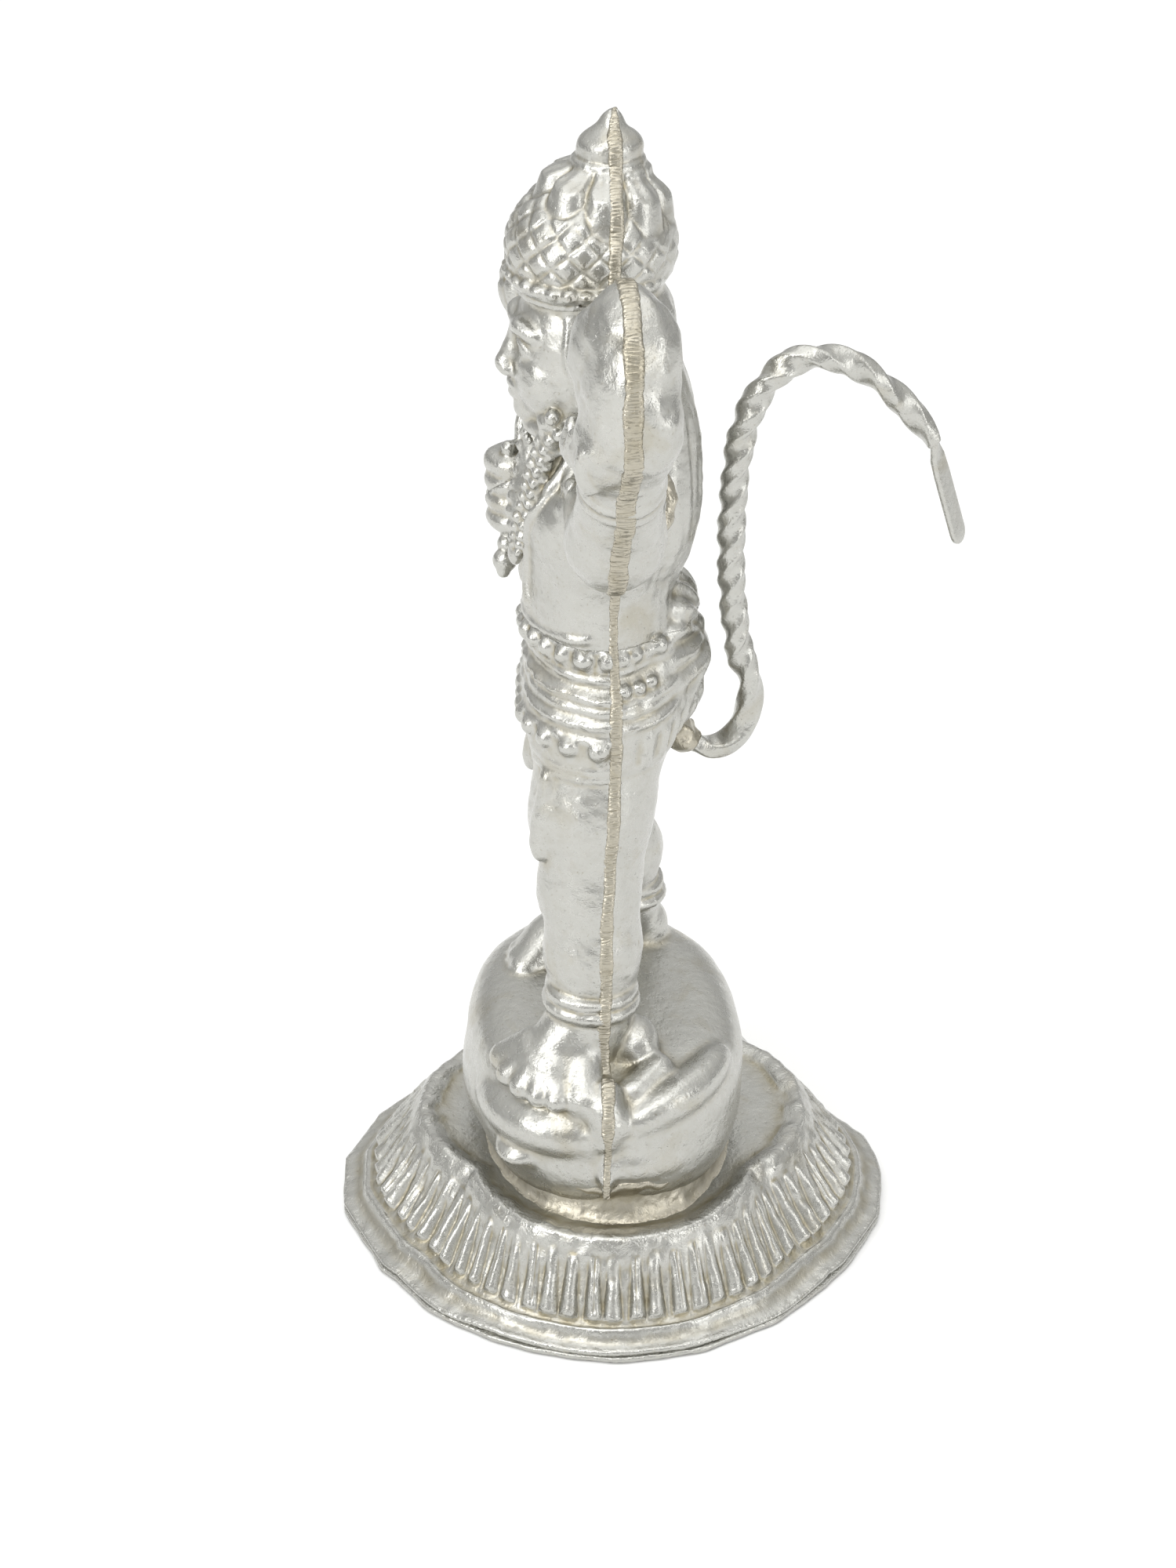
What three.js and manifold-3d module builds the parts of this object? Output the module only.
// Hollow silver figurine: a crowned figure with a mace, a raised arm and a tail, standing on
// a boulder on a four-lobed base. Millimetres, +Z up, facing -Y, its left side towards +X.
// The origin is the centre of the base's underside. Pressed halves meet at solder seams.
import * as THREE from 'three';
import { mergeVertices } from 'three/addons/utils/BufferGeometryUtils.js';
import Module from 'manifold-3d';

// Driving dimensions
const HEIGHT = 130;
const WALL = 0.8;
const SEAM = 1.8;
const SEAM_PROUD = 0.45;
const FILM = 0.05;
const CLEARANCE = 0.3;
const SHEET = 0.6;
const FIGURE_SHIFT = -1.2;

// Base: how far each lobe reaches along X and Y, and where two lobes meet
const RIM = { x: 31.5, y: 32, cuspX: 17.5, cuspY: 24.5 };
const LEDGE = { x: 25.3, y: 22, cuspX: 12.7, cuspY: 15.5 };
const LIP_Z = 12.4;
const DECK_Z = 11.4;
const BASE_SEGMENTS = 40;
const INNER_SEGMENTS = 8;

// Boulder and collar band
const BOULDER = { halfX: 21.5, halfY: 16.3, topZ: 28 };
const BAND_HEIGHT = 2.6;

// Tail strip
const TAIL_WIDTH = 2.5;
const TONGUE_THICKNESS = 1;
const TONGUE_LENGTH = 12;

const wasm = await Module();
wasm.setup();

const silver = { color: 0xd9d8d2, roughness: 0.32, metalness: 1 };
const solder = { color: 0xc9bfa4, roughness: 0.5, metalness: 1 };

function toSolid(geometry) {
  const bare = geometry.clone();
  bare.deleteAttribute('normal');
  bare.deleteAttribute('uv');
  const merged = mergeVertices(bare, 1e-4);
  return new wasm.Manifold(new wasm.Mesh({
    numProp: 3,
    vertProperties: new Float32Array(merged.attributes.position.array),
    triVerts: new Uint32Array(merged.index.array),
  }));
}

function toGeometry(solid) {
  const mesh = solid.getMesh();
  const geometry = new THREE.BufferGeometry();
  geometry.setAttribute('position', new THREE.BufferAttribute(mesh.vertProperties, 3));
  geometry.setIndex(new THREE.BufferAttribute(mesh.triVerts, 1));
  geometry.computeVertexNormals();
  return geometry;
}

function named(name, solid, finish) {
  const mesh = new THREE.Mesh(toGeometry(solid), new THREE.MeshStandardMaterial(finish));
  mesh.name = name;
  return mesh;
}

function box(low, high) {
  const size = high.map((value, axis) => value - low[axis]);
  const geometry = new THREE.BoxGeometry(...size);
  geometry.translate(...low.map((value, axis) => value + size[axis] / 2));
  return toSolid(geometry);
}

// Inner faces, which nobody sees, are coarser than outer ones
function ellipsoid(centre, radii, grow = 0, segments = 10) {
  const around = grow < 0 ? INNER_SEGMENTS : segments;
  const geometry = new THREE.SphereGeometry(1, around, Math.round(around * 0.6));
  geometry.rotateX(Math.PI / 2);
  geometry.scale(...radii.map((radius) => radius + grow));
  geometry.translate(...centre);
  return toSolid(geometry);
}

// A tapered limb with a round far end; its flat near end is buried in the piece it grows from
function limb(from, to, radiusFrom, radiusTo, grow = 0, segments = 10) {
  const start = new THREE.Vector3(...from);
  const axis = new THREE.Vector3(...to).sub(start);
  const length = axis.length();
  const around = grow < 0 ? INNER_SEGMENTS : segments;
  const geometry = new THREE.CylinderGeometry(radiusTo + grow, radiusFrom + grow, length, around);
  geometry.translate(0, length / 2, 0);
  const up = new THREE.Vector3(0, 1, 0);
  geometry.applyQuaternion(new THREE.Quaternion().setFromUnitVectors(up, axis.normalize()));
  geometry.translate(...from);
  return toSolid(geometry).add(ellipsoid(to, [radiusTo, radiusTo, radiusTo], grow, segments));
}

function lathe(points, segments = 24) {
  const geometry = new THREE.LatheGeometry(points.map((p) => new THREE.Vector2(...p)), segments);
  geometry.rotateX(Math.PI / 2);
  return geometry;
}

function union(solids) {
  return solids.reduce((whole, next) => whole.add(next));
}

// The half of space on the side of a plane that its normal points to, from an offset outwards
function halfSpace(plane, side, offset) {
  const reach = 400;
  const geometry = new THREE.BoxGeometry(reach, reach, reach);
  geometry.translate(0, 0, reach / 2 + offset);
  const normal = plane.normal.clone().multiplyScalar(side);
  geometry.applyQuaternion(new THREE.Quaternion().setFromUnitVectors(new THREE.Vector3(0, 0, 1), normal));
  geometry.translate(...plane.point);
  return toSolid(geometry);
}

// Two pressed halves and the raised solder seam between them
function pressedPair(build, plane) {
  const outer = build(0);
  const inner = build(-WALL);
  const shell = outer.subtract(inner);
  const proud = build(SEAM_PROUD).subtract(inner);
  const edge = SEAM / 2;
  const seam = proud
    .subtract(halfSpace(plane, 1, edge - FILM))
    .subtract(halfSpace(plane, -1, edge - FILM));
  return {
    outer,
    first: shell.intersect(halfSpace(plane, 1, edge)),
    second: shell.intersect(halfSpace(plane, -1, edge)),
    seam,
  };
}

// ---------------------------------------------------------------- base

// Distance from the centre to a four-lobed outline: two pairs of arcs that meet at cusps
function lobeRadius(outline, angle) {
  const across = Math.abs(Math.cos(angle));
  const along = Math.abs(Math.sin(angle));
  const { x, y, cuspX, cuspY } = outline;
  const centreX = (x * x - cuspX * cuspX - cuspY * cuspY) / (2 * (x - cuspX));
  const centreY = (y * y - cuspX * cuspX - cuspY * cuspY) / (2 * (y - cuspY));
  const arcX = centreX * across + Math.sqrt((x - centreX) ** 2 - (centreX * along) ** 2);
  const arcY = centreY * along + Math.sqrt((y - centreY) ** 2 - (centreY * across) ** 2);
  return Math.max(arcX, arcY);
}

// Turns a profile whose first number runs 0 to 1 over the deck and 1 to 2 down to the rim
function lobedTurning(profile) {
  const geometry = lathe(profile, BASE_SEGMENTS);
  const position = geometry.attributes.position;
  for (let i = 0; i < position.count; i += 1) {
    const reach = Math.hypot(position.getX(i), position.getY(i));
    const angle = Math.atan2(position.getY(i), position.getX(i));
    const ledge = lobeRadius(LEDGE, angle);
    const skirt = lobeRadius(RIM, angle) - ledge;
    const radius = reach <= 1 ? reach * ledge : ledge + (reach - 1) * skirt;
    position.setXY(i, radius * Math.cos(angle), radius * Math.sin(angle));
  }
  return toSolid(geometry);
}

function basePressing() {
  const foot = SHEET + FILM;
  const outerProfile = [
    [0, DECK_Z], [0.92, DECK_Z], [0.955, LIP_Z], [1, LIP_Z], [1.06, LIP_Z - 1.4],
    [1.3, 6.6], [1.54, 3.4], [1.66, 2.9], [1.74, 2.9], [1.84, foot + WALL], [2, foot + WALL],
  ];
  const innerProfile = [
    [2, foot], [1.78, foot], [1.64, 1.9], [1.5, 2.4], [1.24, 6], [0.99, LIP_Z - 1.6],
    [0.85, DECK_Z - WALL], [0, DECK_Z - WALL],
  ];
  return lobedTurning([...outerProfile, ...innerProfile].reverse());
}

function baseBottomSheet() {
  return lobedTurning([[0, 0], [2, 0], [2, SHEET], [0, SHEET]]);
}

// ---------------------------------------------------------------- figure

function boulder(grow) {
  const foot = grow < 0 ? DECK_Z - 3 : DECK_Z + FILM;
  const sides = [
    [1, BOULDER.topZ], [0.8, 27.4], [0.94, 25], [1, 21], [0.99, 17], [0.91, 13.5], [0.9, foot],
  ];
  const profile = sides.map(([reach, z], i) => [
    i === 0 ? 0 : reach * BOULDER.halfX + grow,
    i < 2 ? z + grow : z,
  ]);
  profile.push([0, foot]);
  const geometry = lathe(profile.reverse(), 28);
  geometry.scale(1, BOULDER.halfY / BOULDER.halfX, 1);
  return toSolid(geometry);
}

function leg(side, ankleY, grow) {
  const hip = [side * 4.8, 0.4, 68];
  const knee = [side * 9.4, ankleY * 0.5, 46];
  const ankle = [side * 11.8, ankleY, 23];
  const toes = [side * 13, ankleY - 6.5, 28.6];
  return limb(hip, knee, 7.5, 5.9, grow)
    .add(limb(knee, ankle, 5.9, 4.4, grow))
    .add(ellipsoid(toes, [4, 6.4, 3.4], grow, 10));
}

function crown(grow) {
  const centreY = 0.3;
  const outline = [
    [0, HEIGHT - 1.6], [1.3, 128], [2.8, 126.9], [3.4, 125.6], [3, 124.4], [2.5, 123.8],
    [4.2, 123], [5.6, 121], [5.9, 118], [0, 118],
  ];
  const profile = outline.map(([radius, z]) => [radius > 0 ? radius + grow : 0, z]);
  const geometry = lathe(profile.reverse(), 14);
  geometry.translate(0, centreY, 0);
  return toSolid(geometry).add(ellipsoid([0, -1.5, 114.6], [9, 8.6, 8.4], grow, 16));
}

function head(grow) {
  const skull = ellipsoid([0, -2, 106], [7.6, 7.4, 9], grow);
  const hair = ellipsoid([0, 4, 96], [8.4, 5.2, 14], grow);
  const neck = limb([0, -1, 90], [0, -1, 100], 5.4, 5.2, grow);
  return union([skull, hair, neck]);
}

function torso(grow) {
  return union([
    ellipsoid([0, -0.6, 86.5], [12.6, 8, 9.5], grow),
    ellipsoid([0, -0.4, 76], [10.8, 7.9, 8], grow),
    ellipsoid([0, 0.4, 67], [12.6, 9.2, 9.2], grow),
    ellipsoid([0, 6, 71], [6.5, 5.4, 6.4], grow),
  ]);
}

const NEAR_ANKLE_Y = -1.6;
const FAR_ANKLE_Y = 2.2;

function figure(grow) {
  return union([
    boulder(grow),
    leg(1, NEAR_ANKLE_Y, grow),
    leg(-1, FAR_ANKLE_Y, grow),
    torso(grow),
    head(grow),
    crown(grow),
  ]);
}

// Nose and chin of a plain face, solid on the front shell
function faceFeatures() {
  const nose = limb([0, -8.9, 107.6], [0, -9.9, 105], 0.5, 0.9);
  const chin = ellipsoid([0, -7.4, 98.8], [2.2, 1.8, 1.6], 0, 12);
  return nose.add(chin);
}

function pointedFin() {
  const outline = new THREE.Shape();
  outline.moveTo(-1.6, 127.2);
  outline.lineTo(1.6, 127.2);
  outline.quadraticCurveTo(0.6, 128.6, 0, HEIGHT);
  outline.quadraticCurveTo(-0.6, 128.6, -1.6, 127.2);
  const thickness = SEAM - 2 * FILM;
  const geometry = new THREE.ExtrudeGeometry(outline, { depth: thickness, bevelEnabled: false });
  geometry.translate(0, 0, -thickness / 2);
  geometry.rotateX(Math.PI / 2);
  return toSolid(geometry);
}

function makeFigure(body) {
  const legGap = box([-9.4, -5, 26], [9.4, 5, 62]);
  const lowEdge = box([-40, -5, 0], [40, 5, DECK_Z + FILM]);
  const seam = body.seam.subtract(lowEdge);
  const outline = seam.subtract(legGap).add(pointedFin());
  const left = box([FILM, -5, 0], [40, 5, HEIGHT + 1]);
  const right = box([-40, -5, 0], [-FILM, 5, HEIGHT + 1]);
  return [
    named('figure_front_shell', body.second.add(faceFeatures()), silver),
    named('figure_back_shell', body.first, silver),
    named('figure_seam_left', outline.intersect(left), solder),
    named('figure_seam_right', outline.intersect(right), solder),
    named('figure_seam_between_legs', seam.intersect(legGap), solder),
  ];
}

// ---------------------------------------------------------------- arms

const SHOULDER_Z = 91;

function leftArm(grow) {
  const shoulder = [7, 0.2, SHOULDER_Z];
  const elbow = [21, -0.2, 92];
  const wrist = [25.4, 0, 100.4];
  return union([
    limb(shoulder, elbow, 4.6, 4.9, grow),
    limb(elbow, wrist, 4.9, 3.9, grow),
    ellipsoid([27.6, -0.2, 112], [7.6, 5.2, 10.6], grow, 12),
  ]);
}

const RIGHT_SHOULDER = new THREE.Vector3(-7.5, 0, SHOULDER_Z);
const RIGHT_ELBOW = new THREE.Vector3(-18.6, -2.2, 82.6);
const FIST = new THREE.Vector3(-10.4, -8.5, 86.2);

function rightArm(grow) {
  const shoulder = RIGHT_SHOULDER.toArray();
  const elbow = RIGHT_ELBOW.toArray();
  const fist = FIST.toArray();
  return union([
    limb(shoulder, elbow, 4.6, 4.1, grow),
    limb(elbow, fist, 4.1, 3, grow),
    ellipsoid(fist, [3.4, 2.9, 4.2], grow),
  ]);
}

// ---------------------------------------------------------------- mace

const MACE_LOW = [-8.2, -9.9, 77.6];
const MACE_HIGH = [-16.8, -5.4, 100.6];
const MACE_BALL = [-18.6, -4.5, 105.4];
const ROD_RADIUS = 0.9;

// ---------------------------------------------------------------- tail

// The tail's centreline: [Y, Z], in the figure's middle plane
const TAIL_ROUTE = [
  [9.6, 59.6], [11.8, 58.6], [13.8, 59.4], [15.4, 61.8], [15.9, 66], [14.6, 70.2], [13.7, 76.6],
  [13.4, 82.4], [13.5, 88], [13.9, 93], [14.9, 97.4], [16.8, 100.8], [19.2, 102.8], [22, 103.3],
  [25, 102.6], [28, 100.6], [31, 97.8], [33.4, 94.8], [34.4, 93.2],
];
const TONGUE_TILT = THREE.MathUtils.degToRad(17);

function tailStrip() {
  const route = new THREE.CatmullRomCurve3(TAIL_ROUTE.map(([y, z]) => new THREE.Vector3(0, y, z)));
  const section = new THREE.Shape();
  section.absarc(0, 0, TAIL_WIDTH / 2 - 0.1, 0, Math.PI * 2, false);
  const steps = { steps: 44, extrudePath: route, curveSegments: 4, bevelEnabled: false };
  const twisted = toSolid(new THREE.ExtrudeGeometry(section, steps));
  const tongue = new THREE.BoxGeometry(TAIL_WIDTH, TONGUE_THICKNESS, TONGUE_LENGTH);
  tongue.translate(0, 0, -TONGUE_LENGTH / 2 + 0.6);
  tongue.rotateX(TONGUE_TILT);
  const [endY, endZ] = TAIL_ROUTE[TAIL_ROUTE.length - 1];
  tongue.translate(0, endY, endZ);
  return twisted.add(toSolid(tongue));
}

// ---------------------------------------------------------------- assembly

const seamPlane = { point: [0, 0, 0], normal: new THREE.Vector3(0, 1, 0) };
const armEdge = new THREE.Vector3().subVectors(RIGHT_ELBOW, RIGHT_SHOULDER);
const forearm = new THREE.Vector3().subVectors(FIST, RIGHT_ELBOW);
const rightArmPlane = {
  point: RIGHT_ELBOW.toArray(),
  normal: new THREE.Vector3().crossVectors(armEdge, forearm).normalize(),
};

const body = pressedPair(figure, seamPlane);
const left = pressedPair(leftArm, seamPlane);
const right = pressedPair(rightArm, rightArmPlane);

const bodyRoom = figure(CLEARANCE);
const bodySolder = figure(1.1);
const seamRoom = figure(SEAM_PROUD + CLEARANCE)
  .subtract(halfSpace(seamPlane, 1, SEAM / 2 + CLEARANCE))
  .subtract(halfSpace(seamPlane, -1, SEAM / 2 + CLEARANCE));
const bodyAround = bodyRoom.add(seamRoom);

const rodRoom = limb(MACE_LOW, MACE_HIGH, ROD_RADIUS, ROD_RADIUS, CLEARANCE);

const fistHole = limb(MACE_LOW, MACE_HIGH, ROD_RADIUS, ROD_RADIUS, 2 * CLEARANCE);

function solderRing(arm) {
  return arm(0.9).intersect(bodySolder).subtract(arm(FILM)).subtract(bodyAround);
}

function makeLeftArm() {
  return [
    named('left_arm_front_shell', left.second.subtract(bodyAround), silver),
    named('left_arm_back_shell', left.first.subtract(bodyAround), silver),
    named('left_arm_seam', left.seam.subtract(figure(1.4)), solder),
    named('left_arm_solder', solderRing(leftArm), solder),
  ];
}

function makeRightArm() {
  const around = bodyAround.add(rodRoom);
  return [
    named('right_arm_outer_shell', right.first.subtract(around), silver),
    named('right_arm_inner_shell', right.second.subtract(around), silver),
    named('right_arm_seam', right.seam.subtract(figure(1.4)).subtract(fistHole), solder),
    named('right_arm_solder', solderRing(rightArm), solder),
  ];
}

function makeMace() {
  const rod = limb(MACE_LOW, MACE_HIGH, ROD_RADIUS, ROD_RADIUS).subtract(bodyRoom);
  const socket = limb(MACE_HIGH, MACE_BALL, ROD_RADIUS, ROD_RADIUS, CLEARANCE);
  const ball = ellipsoid(MACE_BALL, [4.6, 4.6, 4.8])
    .subtract(ellipsoid(MACE_BALL, [4.6, 4.6, 4.8], -WALL))
    .subtract(rodRoom)
    .subtract(socket);
  const pommel = ellipsoid(MACE_LOW, [1.9, 1.9, 1.5], 0, 12);
  return [
    named('mace_handle', rod, silver),
    named('mace_head', ball, silver),
    named('mace_pommel', pommel.subtract(rodRoom), silver),
  ];
}

function makeTail() {
  const strip = tailStrip().subtract(bodyRoom);
  const blob = ellipsoid([0, 9.4, 59.8], [2.6, 1.9, 1.9], 0, 14)
    .subtract(bodyAround)
    .subtract(tailStrip());
  return [
    named('tail_strip', strip, silver),
    named('tail_solder', blob, solder),
  ];
}

function makeCollarBand() {
  const top = DECK_Z + BAND_HEIGHT;
  const profile = [
    [0.97, DECK_Z + FILM], [0.945, DECK_Z + 0.6], [0.94, DECK_Z + 1.6], [0.955, top],
    [0.925, top], [0.92, DECK_Z + FILM],
  ].map(([reach, z]) => [reach * BOULDER.halfX, z]);
  const geometry = lathe([...profile, profile[0]], 32);
  geometry.scale(1, BOULDER.halfY / BOULDER.halfX, 1);
  return toSolid(geometry).subtract(bodyAround);
}

const group = new THREE.Group();
const base = [
  named('base_bottom_sheet', baseBottomSheet(), silver),
  named('base_pressing', basePressing(), silver),
];
const upper = new THREE.Group();
upper.position.y = FIGURE_SHIFT;
upper.add(
  named('collar_band', makeCollarBand(), solder),
  ...makeFigure(body),
  ...makeLeftArm(),
  ...makeRightArm(),
  ...makeMace(),
  ...makeTail(),
);
group.add(...base, upper);

export default group;
